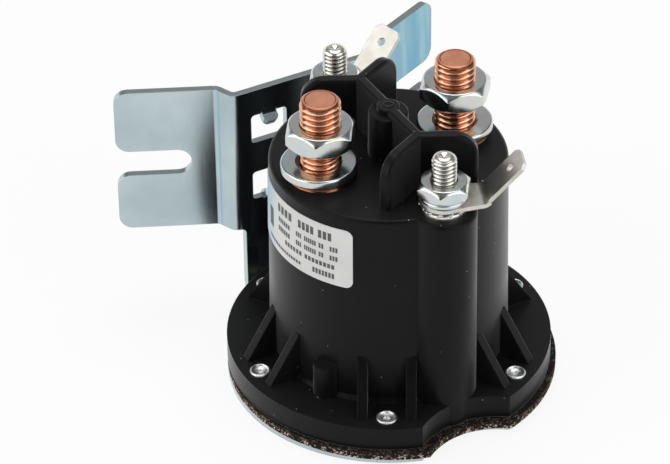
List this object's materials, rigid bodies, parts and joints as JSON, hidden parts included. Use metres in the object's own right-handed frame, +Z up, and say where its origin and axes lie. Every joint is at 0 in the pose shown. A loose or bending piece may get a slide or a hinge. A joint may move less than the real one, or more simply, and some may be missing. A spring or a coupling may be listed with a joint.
{
  "type": "starter relay",
  "caption": "Round contactor-type starter relay with large copper studs, spade coil terminals, a barrier and a slotted folded bracket.",
  "frame": {"origin": "centre of the base disc's underside, on the relay's axis", "axes": "+Z up along the relay's axis, out of the studs; +X from the left power stud to the right one; +Y from the front towards the upright mounting plate"},
  "size_m": [0.0726, 0.0804, 0.0674],
  "materials": {
    "zinc_plate": "satin",
    "nut_metal": "satin",
    "stud_metal": "satin",
    "rivet_metal": "satin",
    "copper": "satin",
    "tin_plate": "satin",
    "cork_rubber": "matte",
    "black_moulding": "satin",
    "label_film": "satin",
    "soft_iron": "satin",
    "dark_rubber": "matte",
    "bobbin_plastic": "matte",
    "coil_wire": "satin",
    "spring_steel": "polished",
    "insulator": "matte"
  },
  "bodies": {
    "housing": {"bracket": "zinc_plate", "gasket": "cork_rubber", "cap": "black_moulding", "label": "label_film", "rivet_1": "rivet_metal", "rivet_2": "rivet_metal", "rivet_3": "rivet_metal", "rivet_4": "rivet_metal", "rivet_5": "rivet_metal", "rivet_6": "rivet_metal", "large_stud_left": "copper", "large_stud_right": "copper", "large_washer_left": "nut_metal", "large_washer_right": "nut_metal", "large_nut_left": "nut_metal", "large_nut_right": "nut_metal", "small_stud_front": "stud_metal", "small_stud_back": "stud_metal", "tooth_washer_front": "nut_metal", "tooth_washer_back": "nut_metal", "spade_terminal_front": "tin_plate", "spade_terminal_back": "tin_plate", "small_washer_front": "nut_metal", "small_washer_back": "nut_metal", "small_nut_front": "nut_metal", "small_nut_back": "nut_metal", "coil_can": "soft_iron", "fixed_core": "soft_iron", "coil_pad": "dark_rubber", "coil_bobbin": "bobbin_plastic", "coil_winding": "coil_wire", "coil_lead_front": "coil_wire", "coil_lead_back": "coil_wire", "plunger_stop": "dark_rubber"},
    "plunger_set": {"plunger": "soft_iron", "push_rod": "spring_steel", "spring_collar": "soft_iron", "retaining_clip": "spring_steel", "contact_spring": "spring_steel", "return_spring": "spring_steel"},
    "bridge_set": {"contact_bridge": "copper", "lower_bush": "insulator", "upper_washer": "insulator"}
  },
  "joints": [
    {"name": "plunger_slide", "type": "slide", "parent": "housing", "child": "plunger_set", "axis": [0, 0, 1], "range_m": [0, 0.003], "stiffness_N_per_m": 600, "springref_m": -0.002, "deforming": ["return_spring"]},
    {"name": "bridge_slide", "type": "slide", "parent": "plunger_set", "child": "bridge_set", "axis": [0, 0, 1], "range_m": [-0.0006, 0], "deforming": ["contact_spring"]}
  ],
  "couplings": [
    {"joint": "bridge_slide", "follows": "plunger_slide", "ratio": -0.2}
  ]
}
